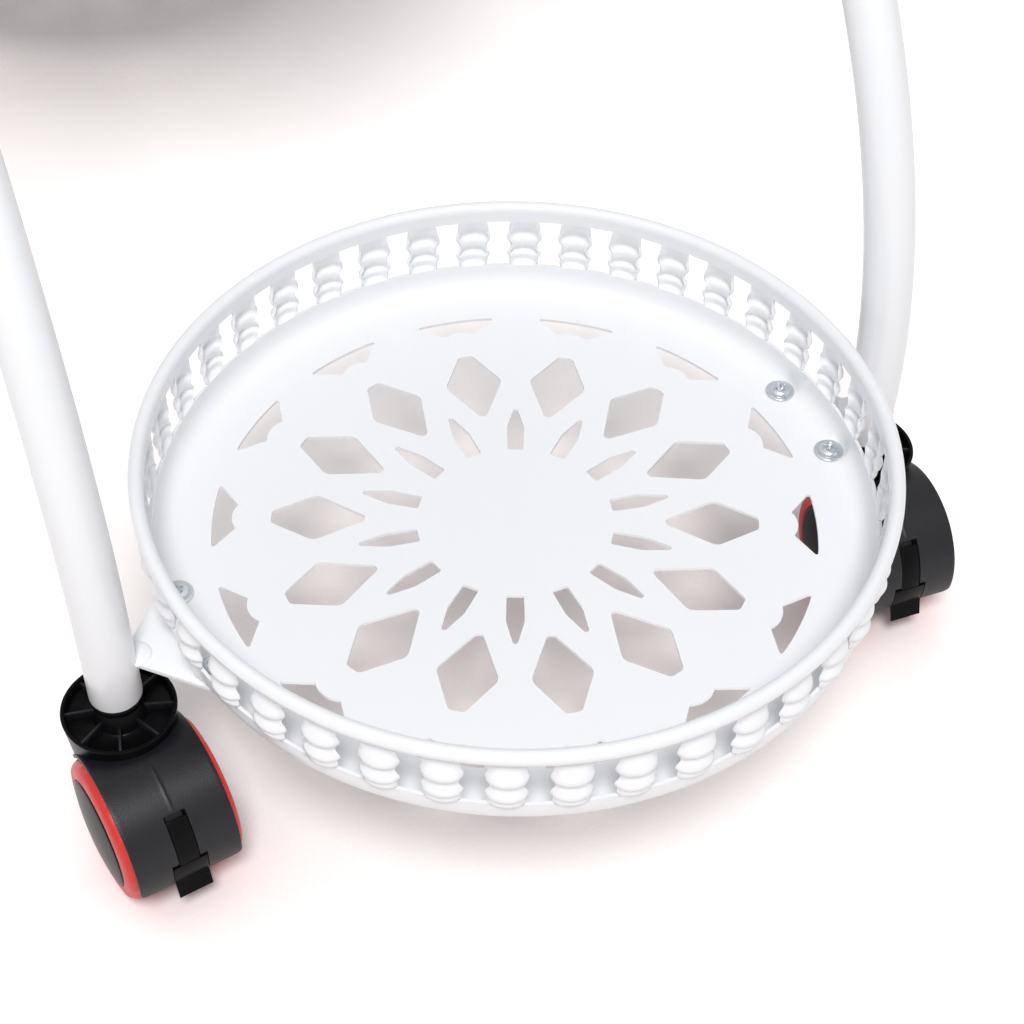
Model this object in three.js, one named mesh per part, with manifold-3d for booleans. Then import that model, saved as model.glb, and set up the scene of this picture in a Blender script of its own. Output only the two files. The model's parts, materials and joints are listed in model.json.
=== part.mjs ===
// Flower cart stand: two arched steel tubes on four twin-wheel castors carry three round pierced
// trays, one low at each end of the arch and one at its top. Millimetres, +Z up, the floor at z = 0,
// the origin midway between the four castors. +Y runs along the arch, away from the front tray.
import * as THREE from 'three';
import { mergeVertices } from 'three/addons/utils/BufferGeometryUtils.js';
import Module from 'manifold-3d';

// ---- driving dimensions -------------------------------------------------------------------------
// arch tubes
const tubeRadius = 9.5;
const tubeWall = 1.2;
const archRadius = 270;          // of the tube's centre line
const legLength = 22.5;          // straight leg between the half circle and the castor
const tubeClearance = 9.5;       // between a tray's rim and the tube beside it
const tubeSides = 10;
const boreSides = 6;
const archSteps = 16;

// trays
const wallRadius = 132.2;        // inside of the wall
const sheet = 1;                 // wall thickness
const floorSheet = 1.2;
const coveRadius = 5.5;          // where the floor turns up into the wall
const openingBottom = 11.2;      // above the tray's floor
const openingTop = 33.6;
const rimReach = 4.8;            // outside of the rolled rim, beyond the inside of the wall
const beadRadius = 2.9;          // the roll's own radius
const beadHeight = 38.7;         // the roll's centre above the tray's floor
const balusterCount = 40;        // one straight side of the round wall for each
const lowTrayDrop = 4;           // low tray's floor below the arch's centre
const topTrayRise = 2.5;         // top tray's floor above the tube's centre line

const balusterHalf = 5.5;        // half width
const balusterSwell = 3.4;       // how far it swells out of the wall at its widest

// turned baluster from foot to head: share of the opening's height, and of the swell
const balusterRows = [[0, 0.3], [0.29, 1], [0.45, 0.35], [0.66, 1], [1, 0]];

// floor pattern, drawn for one of its fourteen sectors as shares of the flat floor's radius
const sectorCount = 14;
const diamond = [[0.44, 0], [0.583, 0.086], [0.713, 0], [0.583, -0.086]];
const slot = [[0.279, 0.0275], [0.48, 0], [0.279, -0.0275]];
const crescent = [[0.8735, 0.124], [0.811, 0.046], [0.811, -0.046], [0.8735, -0.124]];

// bracket plates and their screws
const plateThickness = 2;
const screwInset = 7.6;          // screws' line inside the tray's wall
const screwSpacing = 36.3;
const plateLip = 8.6;            // plate beyond the screws' line, under the floor
const plateStraight = 4.4;       // plate beyond the screws' line, before it starts to taper
const plateMargin = 6.35;        // plate beside each screw's centre
const plateEndHalfWidth = 6;     // at the tube
const screwShank = 2.5;
const screwHoleSides = 6;
const screwHead = 5.4;
const screwHeadHeight = 2.8;
const screwLength = 7.5;
const screwSeat = 6.6;           // corners of the flat seat pressed into the cove round each head

// castors
const wheelRadius = 27.5;
const wheelOuter = 22;           // tyre's outer face, from the castor's middle
const wheelSides = 12;
const tyreShoulder = 3;
const capBulge = 2.8;            // hub cap's crown outside the tyre
const capRadius = 24;            // where the tyre meets the hub
const webHalf = 3.2;             // web between the two wheels
const trail = 22.5;              // axle behind the swivel axis
const cupHeight = 34;            // cup's rim above the axle
const cupRadius = 20.2;
const cupWall = 1.8;
const cupDepth = 3.6;
const cupSkirt = 17;             // cup's side below its rim
const ribCount = 8;
const ribThickness = 1.1;
const hubRadius = 8.6;
const hubRise = 4.5;             // above the cup's rim
const hoodRadius = 29.6;
const hoodHalf = 19.6;
const hoodFront = -14;           // degrees, from straight ahead of the axle, upwards
const hoodBack = 150;
const axleRadius = 3;
const axleReach = 19;            // axle's end, from the castor's middle
const axleBoss = 7;
const stemRadius = 4;
const stemDepth = 16;            // below the hub's top
const stemReach = 25;            // above the hub's top
const socketFlange = 3.4;
const socketDepth = 24;          // inside the tube

// brake pedal
const pedalHalf = 6.5;
const tongueHalf = 3.8;          // narrow part of the pedal's plate
const pedalSplit = 4.5;          // degrees, where the narrow part starts
const tongueEnd = 42;            // degrees, top of the narrow part
const slotEnd = 46.5;            // degrees, top of the hood's slot
const pedalDrop = 7.6;           // foot tab below the hood
const pedalFlare = 2.2;
const pivotRadius = 20;          // pedal's pivot, from the axle
const pivotAngle = -5;
const pivotPin = 1.3;
const finHalf = 1.6;             // fin that reaches from the plate to the pivot

// gaps
const seat = 0.3;                // between pieces that touch
const running = 0.35;            // around pieces that turn
const tyreGap = 0.7;             // between tyre and hood

// resting swivel angle of the castors, degrees
const swivelLeft = 6;
const swivelRight = -5;
const backward = 180;            // castors of the back legs

// ---- sizes that follow --------------------------------------------------------------------------
const tubeBore = tubeRadius - tubeWall;
const floorRadius = wallRadius - coveRadius;
const rimRadius = wallRadius + rimReach;
const screwRadius = wallRadius - screwInset;
const plateInnerRadius = screwRadius - plateLip;
const plateShoulder = screwRadius + plateStraight;
const plateHalfWidth = screwSpacing / 2 + plateMargin;
const screwHole = (screwShank + seat) / Math.cos(Math.PI / screwHoleSides);
const pivotHole = (pivotPin + 0.15) / Math.cos(Math.PI / 6);
const cupTop = wheelRadius + cupHeight;
const hubTop = cupTop + hubRise;
const footHeight = hubTop + seat + socketFlange + seat;
const archHeight = footHeight + legLength;
const lowTrayHeight = archHeight - lowTrayDrop;
const topTrayHeight = archHeight + archRadius + topTrayRise;
const tubeX = rimRadius + tubeClearance + tubeRadius;
const degree = Math.PI / 180;

// ---- colours ------------------------------------------------------------------------------------
const paint = { color: 0xf4f5f8, roughness: 0.38, metalness: 0 };
const zinc = { color: 0xc9ced4, roughness: 0.3, metalness: 1 };
const nylon = { color: 0x1d1e22, roughness: 0.55, metalness: 0 };
const tread = { color: 0xd42a26, roughness: 0.45, metalness: 0 };

// ---- solids -------------------------------------------------------------------------------------
const wasm = await Module();
wasm.setup();

function toSolid(geometry) {
  const bare = geometry.clone();
  bare.deleteAttribute('normal');
  bare.deleteAttribute('uv');
  const merged = mergeVertices(bare, 1e-4);
  const corners = merged.index.array;
  const triVerts = [];
  for (let i = 0; i < corners.length; i += 3) {
    const [a, b, c] = corners.slice(i, i + 3);
    if (a !== b && b !== c && c !== a) triVerts.push(a, b, c);
  }
  return new wasm.Manifold(new wasm.Mesh({
    numProp: 3,
    vertProperties: new Float32Array(merged.attributes.position.array),
    triVerts: new Uint32Array(triVerts),
  }));
}

function toGeometry(solid) {
  const { vertProperties, triVerts } = solid.getMesh();
  const geometry = new THREE.BufferGeometry();
  geometry.setAttribute('position', new THREE.BufferAttribute(vertProperties, 3));
  geometry.setIndex(new THREE.BufferAttribute(triVerts, 1));
  return geometry;
}

// a profile of [radius, height] points turned about Z
function revolve(profile, segments) {
  const points = profile.map(([radius, height]) => new THREE.Vector2(radius, height));
  return new THREE.LatheGeometry(points, segments).rotateX(Math.PI / 2);
}

// an outline in X and Y raised from z = low to z = high
function prism(outline, low, high, holes = []) {
  const shape = new THREE.Shape(outline.map(([x, y]) => new THREE.Vector2(x, y)));
  for (const hole of holes) shape.holes.push(new THREE.Path(hole.map(([x, y]) => new THREE.Vector2(x, y))));
  return new THREE.ExtrudeGeometry(shape, { depth: high - low, bevelEnabled: false }).translate(0, 0, low);
}

// an outline in Y and Z that runs across the castor, from x = low to x = high
function crossPrism(outline, low, high) {
  return prism(outline, low, high).applyMatrix4(new THREE.Matrix4().set(
    0, 0, 1, 0,
    1, 0, 0, 0,
    0, 1, 0, 0,
    0, 0, 0, 1,
  ));
}

function circle(radius, sides, x = 0, y = 0) {
  const points = [];
  for (let i = 0; i < sides; i += 1) {
    const angle = ((i + 0.5) / sides) * 2 * Math.PI;
    points.push([x + radius * Math.cos(angle), y + radius * Math.sin(angle)]);
  }
  return points;
}

// a stretch of ring round the axle, in Y and Z; the angle is 0 straight ahead and grows upwards
function axlePoint(radius, angle) {
  return [-trail - radius * Math.cos(angle * degree), wheelRadius + radius * Math.sin(angle * degree)];
}

function ringSector(inner, outer, from, to, steps) {
  const points = [];
  for (let i = 0; i <= steps; i += 1) points.push(axlePoint(outer, from + ((to - from) * i) / steps));
  for (let i = steps; i >= 0; i -= 1) points.push(axlePoint(inner, from + ((to - from) * i) / steps));
  return points.reverse();
}

function makeMesh(name, geometry, look) {
  const mesh = new THREE.Mesh(geometry, new THREE.MeshStandardMaterial(look));
  mesh.name = name;
  return mesh;
}

// ---- arch tube ----------------------------------------------------------------------------------
// A bent steel tube: a straight leg, half a circle and a straight leg, open at both ends.
function archSweep(radius, sides, beyond) {
  const stations = [{ y: -archRadius, z: footHeight - beyond, turned: 0 }];
  for (let step = 0; step <= archSteps; step += 1) {
    const turned = (step * Math.PI) / archSteps;
    const y = -archRadius * Math.cos(turned);
    stations.push({ y, z: archHeight + archRadius * Math.sin(turned), turned });
  }
  stations.push({ y: archRadius, z: footHeight - beyond, turned: Math.PI });
  const positions = [];
  const index = [];
  for (const { y, z, turned } of stations) {
    for (const [across, out] of circle(radius, sides)) {
      positions.push(across, y - out * Math.cos(turned), z + out * Math.sin(turned));
    }
  }
  const last = sides * (stations.length - 1);
  for (let side = 0; side < sides; side += 1) {
    const next = (side + 1) % sides;
    for (let ring = 0; ring < last; ring += sides) {
      index.push(ring + side, ring + sides + side, ring + sides + next);
      index.push(ring + side, ring + sides + next, ring + next);
    }
    if (side > 0 && side < sides - 1) {
      index.push(0, side, side + 1);
      index.push(last, last + side + 1, last + side);
    }
  }
  const geometry = new THREE.BufferGeometry();
  geometry.setAttribute('position', new THREE.Float32BufferAttribute(positions, 3));
  return toSolid(geometry.setIndex(index));
}

function archGeometry() {
  return toGeometry(archSweep(tubeRadius, tubeSides, 0).subtract(archSweep(tubeBore, boreSides, 1)));
}

// ---- tray ---------------------------------------------------------------------------------------
// A pressed pan with a pierced floor, a gallery of turned balusters and a rolled rim.
function polarPoint([along, across], turn) {
  const x = along * floorRadius;
  const y = across * floorRadius;
  return [x * Math.cos(turn) - y * Math.sin(turn), x * Math.sin(turn) + y * Math.cos(turn)];
}

// The pan, its gallery and its rim as one closed skin, one flat of the round wall after another. A
// point on a flat is [out, along, z], turned to its place; a corner is shared by two flats.
function trayShell() {
  const pitch = (2 * Math.PI) / balusterCount;
  const outside = wallRadius + sheet;
  const inner = wallRadius * Math.cos(pitch / 2);
  const outer = outside * Math.cos(pitch / 2);
  const opening = openingTop - openingBottom;
  const bead = rimRadius - beadRadius;
  const rim = [
    [rimRadius, beadHeight],
    [bead - 0.3 * beadRadius, beadHeight + 0.9 * beadRadius],
  ];
  const corners = [];
  const face = (...points) => {
    for (let k = 1; k < points.length - 1; k += 1) corners.push(...points[0], ...points[k], ...points[k + 1]);
  };
  const corner = (place, radius, z) => {
    const angle = ((place + balusterCount) % balusterCount) * pitch;
    return [radius * Math.cos(angle), radius * Math.sin(angle), z];
  };
  const floorPoints = (z) => Array.from({ length: balusterCount }, (_, i) => corner(i + 0.5, floorRadius, z));
  face(...floorPoints(-floorSheet).reverse());
  face(...floorPoints(0));
  for (let i = 0; i < balusterCount; i += 1) {
    const left = (radius, z) => corner(i - 0.5, radius, z);
    const right = (radius, z) => corner(i + 0.5, radius, z);
    const wall = (low, high) => face(left(...low), right(...low), right(...high), left(...high));
    const cos = Math.cos(i * pitch);
    const sin = Math.sin(i * pitch);
    const flat = (out, along, z) => [out * cos - along * sin, out * sin + along * cos, z];
    const crowns = balusterRows.map(([share, swell]) => (
      flat(outer + swell * balusterSwell, 0, openingBottom + share * opening)
    ));
    const foot = crowns[0];
    const head = crowns[crowns.length - 1];
    const footLeft = flat(inner, -balusterHalf, openingBottom);
    const footRight = flat(inner, balusterHalf, openingBottom);
    const headLeft = flat(inner, -balusterHalf, openingTop);
    const headRight = flat(inner, balusterHalf, openingTop);
    wall([floorRadius, -floorSheet], [outside, coveRadius - floorSheet]);
    face(
      foot,
      left(outside, openingBottom),
      left(outside, coveRadius - floorSheet),
      right(outside, coveRadius - floorSheet),
      right(outside, openingBottom),
    );
    face(left(wallRadius, openingBottom), left(outside, openingBottom), foot, footLeft);
    face(footRight, foot, right(outside, openingBottom), right(wallRadius, openingBottom));
    face(
      right(wallRadius, coveRadius),
      left(wallRadius, coveRadius),
      left(wallRadius, openingBottom),
      footLeft,
      footRight,
      right(wallRadius, openingBottom),
    );
    face(right(floorRadius, 0), left(floorRadius, 0), left(wallRadius, coveRadius), right(wallRadius, coveRadius));
    face(footLeft, ...crowns, headLeft);
    face(headRight, ...[...crowns].reverse(), footRight);
    face(footRight, footLeft, headLeft, headRight);
    face(headLeft, head, left(outside, openingTop), left(wallRadius, openingTop));
    face(right(wallRadius, openingTop), right(outside, openingTop), head, headRight);
    face(right(...rim[0]), left(...rim[0]), left(outside, openingTop), head, right(outside, openingTop));
    wall(rim[0], rim[1]);
    face(
      left(...rim[1]),
      right(...rim[1]),
      right(wallRadius, openingTop),
      headRight,
      headLeft,
      left(wallRadius, openingTop),
    );
  }
  const geometry = new THREE.BufferGeometry();
  return geometry.setAttribute('position', new THREE.Float32BufferAttribute(corners, 3));
}

function trayGeometry() {
  const cutters = [];
  for (let i = 0; i < sectorCount; i += 1) {
    const turn = (i * 2 * Math.PI) / sectorCount;
    const halfTurn = turn + Math.PI / sectorCount;
    cutters.push(prism(diamond.map((point) => polarPoint(point, turn)), -2 * floorSheet, floorSheet));
    cutters.push(prism(crescent.map((point) => polarPoint(point, turn)), -2 * floorSheet, floorSheet));
    cutters.push(prism(slot.map((point) => polarPoint(point, halfTurn)), -2 * floorSheet, floorSheet));
  }
  const seats = [];
  for (const side of [-1, 1]) {
    for (const end of [-1, 1]) {
      const place = [side * screwRadius, (end * screwSpacing) / 2];
      cutters.push(prism(circle(screwHole, screwHoleSides, ...place), -2 * floorSheet, floorSheet));
      cutters.push(prism(circle(screwSeat, screwHoleSides, ...place), 0, 2 * coveRadius));
      seats.push(toSolid(prism(circle(screwSeat + sheet, screwHoleSides, ...place), -floorSheet, coveRadius)));
    }
  }
  const corner = revolve([
    [plateInnerRadius, -floorSheet],
    [wallRadius + sheet, -floorSheet],
    [wallRadius + sheet, coveRadius],
    [wallRadius, coveRadius],
    [floorRadius, 0],
    [plateInnerRadius, 0],
    [plateInnerRadius, -floorSheet],
  ], balusterCount).rotateZ(Math.PI / balusterCount);
  const pads = toSolid(corner).intersect(wasm.Manifold.union(seats));
  return toGeometry(toSolid(trayShell()).add(pads).subtract(wasm.Manifold.union(cutters.map(toSolid))));
}

// ---- bracket plate ------------------------------------------------------------------------------
// A flat plate under the tray, tapered to the tube it is welded to. The end is hollowed for a tube
// that stands upright, and straight for one that lies along it.
function plateGeometry(upright) {
  const straight = tubeX - tubeRadius - seat;
  const sweep = Math.asin(plateEndHalfWidth / (tubeRadius + seat));
  const hollow = (tubeRadius + seat) / Math.cos(sweep / 4);
  const end = [-1, -0.5, 0, 0.5, 1].map((share) => [
    tubeX - hollow * Math.cos(share * sweep),
    hollow * Math.sin(share * sweep),
  ]);
  const outline = [
    [plateInnerRadius, -plateHalfWidth],
    [plateShoulder, -plateHalfWidth],
    ...(upright ? end : [[straight, -plateEndHalfWidth], [straight, plateEndHalfWidth]]),
    [plateShoulder, plateHalfWidth],
    [plateInnerRadius, plateHalfWidth],
  ];
  const holes = [-1, 1].map((side) => circle(screwHole, screwHoleSides, screwRadius, (side * screwSpacing) / 2));
  return prism(outline, -plateThickness, 0, holes);
}

// ---- screw --------------------------------------------------------------------------------------
function screwGeometry() {
  return revolve([
    [0, -screwLength],
    [screwShank, -screwLength],
    [screwShank, 0],
    [screwHead, 0],
    [screwHead * 0.7, screwHeadHeight * 0.8],
    [0, screwHeadHeight],
  ], 6);
}

// ---- castor -------------------------------------------------------------------------------------
// Everything is drawn with the swivel axis on Z and the axle ahead of it, towards -Y.
function housingGeometry() {
  const hood = crossPrism(ringSector(axleBoss - 1, hoodRadius, hoodFront, hoodBack, 8), -hoodHalf, hoodHalf);
  const boss = crossPrism(circle(axleBoss, 6, -trail, wheelRadius), -webHalf, webHalf);
  const cup = revolve([
    [0, cupTop - cupSkirt],
    [cupRadius - cupWall, cupTop - cupSkirt],
    [cupRadius, cupTop],
    [cupRadius - cupWall, cupTop],
    [cupRadius - cupWall, cupTop - cupDepth],
    [hubRadius, cupTop - cupDepth],
    [hubRadius * 0.94, hubTop],
    [0, hubTop],
  ], 2 * ribCount).rotateZ(Math.PI / (2 * ribCount));
  const ribs = [];
  for (let i = 0; i < ribCount; i += 1) {
    const rib = new THREE.BoxGeometry(cupRadius - hubRadius, ribThickness, cupDepth);
    rib.translate((cupRadius + hubRadius) / 2 - cupWall / 2, 0, cupTop - cupDepth * 0.6);
    ribs.push(toSolid(rib.rotateZ(((i + 0.5) * 2 * Math.PI) / ribCount)));
  }
  const cavity = circle(wheelRadius + tyreGap, 18, -trail, wheelRadius);
  const outside = hoodRadius + 5;
  const cuts = [
    crossPrism(cavity, webHalf, wheelOuter + cupRadius),
    crossPrism(cavity, -wheelOuter - cupRadius, -webHalf),
    crossPrism(circle(axleRadius + seat, 8, -trail, wheelRadius), -2 * webHalf, 2 * webHalf),
    revolve([
      [0, hubTop - stemDepth - seat],
      [stemRadius + running, hubTop - stemDepth - seat],
      [stemRadius + running, hubTop + 1],
      [0, hubTop + 1],
    ], 8),
    crossPrism(
      ringSector(wheelRadius, outside, pedalSplit, slotEnd, 2),
      -tongueHalf - running,
      tongueHalf + running,
    ),
    crossPrism(
      ringSector(wheelRadius, outside, hoodFront - 4, pedalSplit + 1, 1),
      -pedalHalf - running,
      pedalHalf + running,
    ),
    crossPrism(
      ringSector(pivotRadius - 4, outside, hoodFront - 8, -pivotAngle + 9, 1),
      -finHalf - running,
      finHalf + running,
    ),
    crossPrism(circle(pivotHole, 6, ...axlePoint(pivotRadius, pivotAngle)), -2 * webHalf, 2 * webHalf),
  ];
  const body = wasm.Manifold.union([toSolid(hood), toSolid(boss), toSolid(cup), ...ribs]);
  return toGeometry(body.subtract(wasm.Manifold.union(cuts.map(toSolid))));
}

// The pedal's plate fills the slot in the hood. A fin between the wheels carries it on its pivot.
function pedalGeometry() {
  const inner = wheelRadius + tyreGap + 0.1;
  const pieces = [
    crossPrism(ringSector(inner, hoodRadius, pedalSplit - 1, tongueEnd, 3), -tongueHalf, tongueHalf),
    crossPrism(ringSector(inner, hoodRadius, hoodFront, pedalSplit - running, 2), -pedalHalf, pedalHalf),
    crossPrism(ringSector(pivotRadius - 2.2, hoodRadius - 0.3, hoodFront + 2, -pivotAngle, 1), -finHalf, finHalf),
    crossPrism(circle(pivotPin, 6, ...axlePoint(pivotRadius, pivotAngle)), -webHalf + 0.2, webHalf - 0.2),
  ];
  const [topY, topZ] = axlePoint(hoodRadius, hoodFront);
  const [backY, backZ] = axlePoint(inner, hoodFront);
  const tab = [
    [backY, backZ + 1],
    [topY, topZ + 1],
    [topY - pedalFlare, topZ - pedalDrop],
    [backY - pedalFlare, topZ - pedalDrop],
  ];
  pieces.push(crossPrism(tab.reverse(), -pedalHalf, pedalHalf));
  return toGeometry(wasm.Manifold.union(pieces.map(toSolid)));
}

function stemGeometry() {
  return revolve([
    [0, hubTop - stemDepth],
    [stemRadius, hubTop - stemDepth],
    [stemRadius, hubTop + stemReach],
    [0, hubTop + stemReach],
  ], 8);
}

function socketGeometry() {
  const plug = tubeBore * Math.cos(Math.PI / boreSides) - seat;
  const bore = stemRadius + seat;
  const low = hubTop + seat;
  return revolve([
    [bore, low],
    [tubeRadius - seat, low],
    [tubeRadius - seat, low + socketFlange],
    [plug, low + socketFlange],
    [plug, footHeight + socketDepth],
    [bore, footHeight + socketDepth],
    [bore, low],
  ], 8);
}

function axleGeometry() {
  return revolve([
    [0, -axleReach],
    [axleRadius, -axleReach],
    [axleRadius, axleReach],
    [0, axleReach],
  ], 8);
}

// A wheel is drawn with its axis on Z, its outer face up.
function hubGeometry() {
  const inner = webHalf + running;
  const bore = (axleRadius + running / 4) / Math.cos(Math.PI / wheelSides);
  return revolve([
    [bore, inner],
    [capRadius - seat, inner],
    [capRadius - seat, wheelOuter],
    [0, wheelOuter + capBulge],
    [0, axleReach + seat],
    [bore, axleReach + seat],
    [bore, inner],
  ], wheelSides);
}

function tyreGeometry() {
  const inner = webHalf + running;
  return revolve([
    [capRadius, inner],
    [wheelRadius, inner],
    [wheelRadius, wheelOuter - tyreShoulder],
    [capRadius, wheelOuter],
    [capRadius, inner],
  ], wheelSides);
}

// ---- assembly -----------------------------------------------------------------------------------
const stand = new THREE.Group();

const arch = archGeometry();
for (const [side, x] of [['left', -tubeX], ['right', tubeX]]) {
  const mesh = makeMesh(`arch_${side}`, arch, paint);
  mesh.position.x = x;
  stand.add(mesh);
}

const tray = trayGeometry();
const screw = screwGeometry();
const trayPlaces = [
  { name: 'front', y: -archRadius, z: lowTrayHeight, upright: true },
  { name: 'top', y: 0, z: topTrayHeight, upright: false },
  { name: 'back', y: archRadius, z: lowTrayHeight, upright: true },
];
for (const { name, y, z, upright } of trayPlaces) {
  const place = new THREE.Group();
  place.position.set(0, y, z);
  place.add(makeMesh(`tray_${name}`, tray, paint));
  const plate = plateGeometry(upright);
  for (const [side, turn] of [['left', Math.PI], ['right', 0]]) {
    const half = new THREE.Group();
    half.rotation.z = turn;
    const bracket = makeMesh(`bracket_${name}_${side}`, plate, paint);
    bracket.position.z = -floorSheet - seat;
    half.add(bracket);
    for (const [number, across] of [[1, -screwSpacing / 2], [2, screwSpacing / 2]]) {
      const fastener = makeMesh(`screw_${name}_${side}_${number}`, screw, zinc);
      fastener.position.set(screwRadius, across, seat);
      half.add(fastener);
    }
    place.add(half);
  }
  stand.add(place);
}

const castorPieces = [
  ['housing', housingGeometry(), nylon],
  ['brake_pedal', pedalGeometry(), nylon],
];
const stem = stemGeometry();
const socket = socketGeometry();
const axle = axleGeometry();
const hub = hubGeometry();
const tyre = tyreGeometry();
const castorPlaces = [
  { name: 'front_left', x: -tubeX, y: -archRadius, turn: swivelLeft },
  { name: 'front_right', x: tubeX, y: -archRadius, turn: swivelRight },
  { name: 'back_right', x: tubeX, y: archRadius, turn: backward + swivelLeft },
  { name: 'back_left', x: -tubeX, y: archRadius, turn: backward + swivelRight },
];
for (const { name, x, y, turn } of castorPlaces) {
  const castor = new THREE.Group();
  castor.position.set(x, y, 0);
  castor.add(makeMesh(`castor_${name}_socket`, socket, nylon));
  castor.add(makeMesh(`castor_${name}_stem`, stem, zinc));
  const swivel = new THREE.Group();
  swivel.rotation.z = turn * degree;
  for (const [piece, geometry, look] of castorPieces) {
    swivel.add(makeMesh(`castor_${name}_${piece}`, geometry, look));
  }
  for (const [side, facing] of [['left', -1], ['right', 1]]) {
    const wheel = new THREE.Group();
    wheel.position.set(0, -trail, wheelRadius);
    wheel.rotation.y = (facing * Math.PI) / 2;
    wheel.add(makeMesh(`castor_${name}_hub_${side}`, hub, nylon));
    wheel.add(makeMesh(`castor_${name}_tyre_${side}`, tyre, tread));
    if (facing === 1) wheel.add(makeMesh(`castor_${name}_axle`, axle, zinc));
    swivel.add(wheel);
  }
  castor.add(swivel);
  stand.add(castor);
}

export default stand;
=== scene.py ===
"""A flower cart stand: three round pierced trays carried by two arched tubes on four castors."""

import json
import math

import bmesh
import bpy
import numpy as np
from mathutils import Matrix, Vector
from mathutils.geometry import delaunay_2d_cdt


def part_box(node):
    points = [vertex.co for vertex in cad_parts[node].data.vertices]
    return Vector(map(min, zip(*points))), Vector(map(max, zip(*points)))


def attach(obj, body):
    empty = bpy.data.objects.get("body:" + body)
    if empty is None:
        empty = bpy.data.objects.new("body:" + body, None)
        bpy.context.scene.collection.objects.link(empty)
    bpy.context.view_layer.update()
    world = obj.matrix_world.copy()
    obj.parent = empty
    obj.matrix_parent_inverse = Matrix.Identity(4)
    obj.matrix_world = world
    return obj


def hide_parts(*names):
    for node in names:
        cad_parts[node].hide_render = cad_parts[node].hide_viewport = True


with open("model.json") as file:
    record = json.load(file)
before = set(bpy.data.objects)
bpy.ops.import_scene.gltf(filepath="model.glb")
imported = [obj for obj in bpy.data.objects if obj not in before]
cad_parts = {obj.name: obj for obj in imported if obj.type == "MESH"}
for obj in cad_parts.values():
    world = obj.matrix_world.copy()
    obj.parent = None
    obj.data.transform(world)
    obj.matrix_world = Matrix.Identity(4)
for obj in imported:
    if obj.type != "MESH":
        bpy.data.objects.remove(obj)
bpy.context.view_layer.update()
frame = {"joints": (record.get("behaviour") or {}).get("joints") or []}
MM = 0.001

# ---- camera ------------------------------------------------------------------------------------
# The photograph was taken from above the front tray, a little to its left, with a long lens. The
# camera turns from +Y towards +X, looks down at the tray and leans slightly.
CAMERA_PLACE = (-218.6 * MM, -701.6 * MM, 619.5 * MM)
CAMERA_TURN = 26.7
CAMERA_DROP = 47.43
CAMERA_LEAN = 1.5
LENS_MM = 68.29
FILM_MM = 36.0

camera_data = bpy.data.cameras.new("camera")
camera_data.lens = LENS_MM
camera_data.sensor_width = FILM_MM
camera_data.clip_end = 20.0
camera = bpy.data.objects.new("camera", camera_data)
camera.matrix_world = (
    Matrix.Translation(CAMERA_PLACE)
    @ Matrix.Rotation(math.radians(-CAMERA_TURN), 4, "Z")
    @ Matrix.Rotation(math.radians(90 - CAMERA_DROP), 4, "X")
    @ Matrix.Rotation(math.radians(CAMERA_LEAN), 4, "Z")
)
bpy.context.scene.collection.objects.link(camera)
bpy.context.scene.camera = camera

# ---- trays -------------------------------------------------------------------------------------
# Each tray is pressed from steel sheet, with a floor pierced by a flower of fourteen petals, a wall
# stamped into turned balusters and a rolled rim. Like the tubes and the plates, it is sprayed with a
# glossy white enamel, which dries with a fine orange peel.
SHEET = 1.2
FLOOR_MARGIN = (114.0, 118.0, 122.0)
COVE_START = 125.0
COVE_RADIUS = 7.0
COVE_STEP = 15
WALL = 132.0
GAP_BOTTOM = 11.2
GAP_TOP = 33.5
BEAD = (134.35, 38.6)
BEAD_SIZE = (2.65, 3.0)
BEAD_TURN = (195, -116, -15.5)
BEAD_NECK = 0.8
BALUSTERS = 40
BALUSTER_COLUMNS = 12
BALUSTER_ROUNDING = 0.6
GAP_COLUMNS = 4
GAP_ROWS = 44
SAMPLES_PER_ROW = 12
SOFTENING = 11
SWELL_START = 0.6
# a baluster from foot to head: height, width in degrees of the wall, and how far it swells out
BALUSTER = (
    (11.2, 4.5, 0.0),
    (11.9, 4.5, 1.5),
    (12.8, 4.5, 2.4),
    (14.3, 4.5, 2.1),
    (15.6, 4.5, 1.9),
    (16.4, 5.0, 3.2),
    (17.4, 5.35, 3.6),
    (18.6, 4.6, 2.7),
    (20.3, 4.1, 1.8),
    (22.0, 4.2, 1.5),
    (23.4, 4.6, 1.8),
    (24.4, 5.2, 3.2),
    (25.6, 5.4, 3.6),
    (27.2, 5.1, 2.8),
    (28.5, 4.75, 2.0),
    (29.4, 4.9, 1.5),
    (31.5, 4.9, 0.7),
    (33.5, 4.9, 0.0),
)
PETALS = 14
# openings of the floor for one petal: along its axis, half across it, and the corner's rounding
DIAMOND = ((53.5, 0, 2.0), (74.0, 11.35, 4.3), (90.2, 2.85, 2.2))
SLOT = ((36.5, 3.1, 0.8), (48.4, 3.35, 9.0), (61.6, 0, 1.0))
CRESCENT_ARC = 111.75
CRESCENT_TIP = (110.5, 16.1, 0.7)
CRESCENT_CUSP = (102.75, 5.75, 0.5)
CRESCENT_SCALLOP = 104.75
ARC_SHARES = np.linspace(0.82, -0.82, 15)
SCALLOP_SHARES = np.linspace(-0.85, 0.85, 9)
SCREW_PLACE = (124.6, 18.15)
SCREW_SEAT = (4.9, 7.6)
PAINT_COLOUR = (0.83, 0.84, 0.86)
PAINT_ROUGHNESS = 0.3
LACQUER = 0.3
LACQUER_ROUGHNESS = 0.14
PEEL_SIZE = 420.0
PEEL_STRENGTH = 0.05
PEEL_DEPTH = 0.2


def link(tree, source, target):
    tree.links.new(source, target)


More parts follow.
